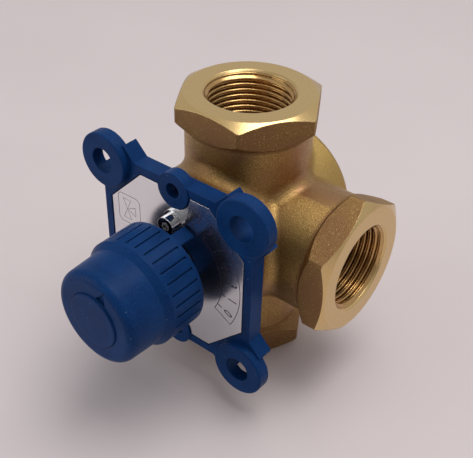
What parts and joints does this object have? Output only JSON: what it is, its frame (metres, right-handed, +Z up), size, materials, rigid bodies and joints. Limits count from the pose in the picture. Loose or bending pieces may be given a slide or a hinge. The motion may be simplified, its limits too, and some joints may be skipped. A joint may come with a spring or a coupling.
{
  "type": "three-way mixing valve",
  "caption": "Rotary three-way brass mixing valve with female threaded hex ports, a plastic mounting plate with round ears, a scale plate and a hand knob.",
  "frame": {"origin": "middle of the bottom port's face, on which the valve stands", "axes": "+Z up along the two ports in line, +X along the side port, -Y along the spindle towards the knob"},
  "size_m": [0.0968, 0.1127, 0.108],
  "materials": {
    "cast_brass": "sand-blasted casting with machined faces",
    "turned_brass": "turned",
    "blue_plastic": "fine moulded matt",
    "polished_aluminium": "polished, printed scale",
    "chromed_steel": "bright plated",
    "stainless_steel": "turned",
    "black_rubber": "moulded",
    "white_bearing_plastic": "turned"
  },
  "bodies": {
    "housing": {"valve_body": "cast_brass", "bonnet": "turned_brass", "bonnet_o_ring": "black_rubber", "spindle_bush": "white_bearing_plastic", "thrust_washer": "white_bearing_plastic", "rear_bush": "white_bearing_plastic", "mounting_plate": "blue_plastic", "scale_plate": "polished_aluminium", "plate_screws": "chromed_steel", "plate_washers": "chromed_steel"},
    "knob_and_rotor": {"spindle": "stainless_steel", "inner_spindle_o_ring": "black_rubber", "outer_spindle_o_ring": "black_rubber", "retaining_ring": "stainless_steel", "rotor": "turned_brass", "knob": "blue_plastic", "knob_cap": "blue_plastic", "knob_screw": "stainless_steel", "knob_screw_washer": "stainless_steel"}
  },
  "joints": [
    {"name": "knob_turn", "type": "hinge", "parent": "housing", "child": "knob_and_rotor", "pos_m": [0, 0, 0.054], "axis": [0, 1, 0], "range_deg": [0, 90]}
  ]
}
